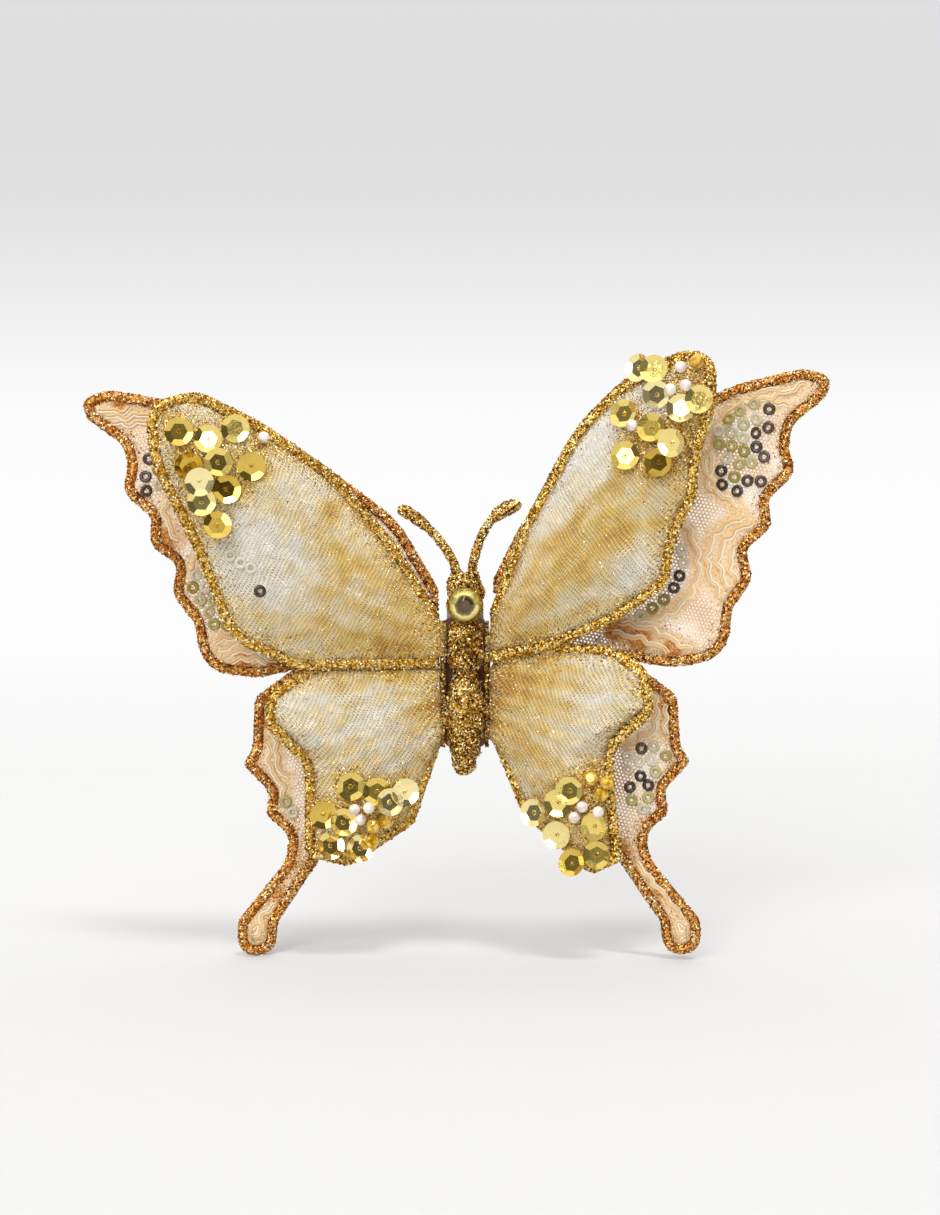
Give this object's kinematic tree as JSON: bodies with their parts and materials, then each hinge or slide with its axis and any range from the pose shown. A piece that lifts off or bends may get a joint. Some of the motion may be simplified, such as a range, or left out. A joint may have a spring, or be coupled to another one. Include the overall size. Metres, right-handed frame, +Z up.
{
  "type": "butterfly ornament",
  "caption": "Clip-on butterfly ornament with two layers of bendable fabric wings, glittered edges and body, faceted gem, sequins, pearls and a spring clip at the back.",
  "frame": {"origin": "centre of the clip's round twig seat, half way along it", "axes": "+X along the twig seat, to the viewer's right; the ornament's front faces -Y; +Z up, towards the antennae"},
  "size_m": [0.1581, 0.042, 0.1307],
  "materials": {
    "clip_steel": "zinc-plated stamped strip and bright spring wire",
    "felt": "pressed felt, gold-brown",
    "body_glitter": "moulded core rolled in fine gold glitter",
    "bound_wire": "annealed wire, paper-wrapped and glittered",
    "gem": "foil-backed faceted acrylic, olive yellow",
    "organza": "sheer champagne-gold organza, fine crinkled weave",
    "gold_lining": "soft gold lining cloth",
    "tulle": "sheer peach tulle with satin cord embroidery",
    "ring_sequin": "small ring sequins, dark brown, olive and clear",
    "gold_sequin": "metallised gold cup sequins with facets",
    "pearl": "white pearl lacquer",
    "crystal": "clear yellow faceted beads",
    "copper_glitter": "wired edge rolled in copper-gold glitter",
    "gold_glitter": "wired edge rolled in bright gold glitter"
  },
  "bodies": {
    "body": {"abdomen": "body_glitter", "back_pad": "felt", "clip_base": "clip_steel", "clip_pin": "clip_steel", "clip_spring": "clip_steel", "head": "body_glitter", "head_gem": "gem", "left_antenna": "body_glitter", "left_root_wire": "bound_wire", "right_antenna": "body_glitter", "right_root_wire": "bound_wire", "spine_wire": "bound_wire", "thorax": "body_glitter"},
    "clip_lever": {"clip_lever": "clip_steel"},
    "left_back_wing": {"left_back_forewing_border": "copper_glitter", "left_back_forewing_net": "tulle", "left_back_forewing_rings": "ring_sequin", "left_back_hindwing_border": "copper_glitter", "left_back_hindwing_net": "tulle", "left_back_hindwing_rings": "ring_sequin"},
    "left_front_wing": {"left_front_forewing_border": "gold_glitter", "left_front_forewing_lining": "gold_lining", "left_front_forewing_pearls": "pearl", "left_front_forewing_sequins": "gold_sequin", "left_front_forewing_skin": "organza", "left_front_hindwing_beads": "crystal", "left_front_hindwing_border": "gold_glitter", "left_front_hindwing_lining": "gold_lining", "left_front_hindwing_pearls": "pearl", "left_front_hindwing_sequins": "gold_sequin", "left_front_hindwing_skin": "organza"},
    "right_back_wing": {"right_back_forewing_border": "copper_glitter", "right_back_forewing_net": "tulle", "right_back_forewing_rings": "ring_sequin", "right_back_hindwing_border": "copper_glitter", "right_back_hindwing_net": "tulle", "right_back_hindwing_rings": "ring_sequin"},
    "right_front_wing": {"right_front_forewing_beads": "crystal", "right_front_forewing_border": "gold_glitter", "right_front_forewing_lining": "gold_lining", "right_front_forewing_pearls": "pearl", "right_front_forewing_sequins": "gold_sequin", "right_front_forewing_skin": "organza", "right_front_hindwing_beads": "crystal", "right_front_hindwing_border": "gold_glitter", "right_front_hindwing_lining": "gold_lining", "right_front_hindwing_pearls": "pearl", "right_front_hindwing_sequins": "gold_sequin", "right_front_hindwing_skin": "organza"}
  },
  "joints": [
    {"name": "clip_open", "type": "hinge", "parent": "body", "child": "clip_lever", "pos_m": [0, 0, 0.011], "axis": [1, 0, 0], "range_deg": [0, 30], "stiffness_Nm_per_rad": 0.043, "springref_deg": -34.38, "deforming": ["clip_spring"]},
    {"name": "left_back_bend", "type": "hinge", "parent": "body", "child": "left_back_wing", "pos_m": [-0.00475, -0.0083, 0], "axis": [0, 0, 1], "range_deg": [-3, 35]},
    {"name": "left_front_bend", "type": "hinge", "parent": "left_back_wing", "child": "left_front_wing", "pos_m": [-0.00475, -0.0083, 0], "axis": [0, 0, 1], "range_deg": [0, 12]},
    {"name": "right_back_bend", "type": "hinge", "parent": "body", "child": "right_back_wing", "pos_m": [0.00475, -0.0083, 0], "axis": [0, 0, -1], "range_deg": [-8, 35]},
    {"name": "right_front_bend", "type": "hinge", "parent": "right_back_wing", "child": "right_front_wing", "pos_m": [0.00475, -0.0083, 0], "axis": [0, 0, -1], "range_deg": [-6, 12]}
  ]
}
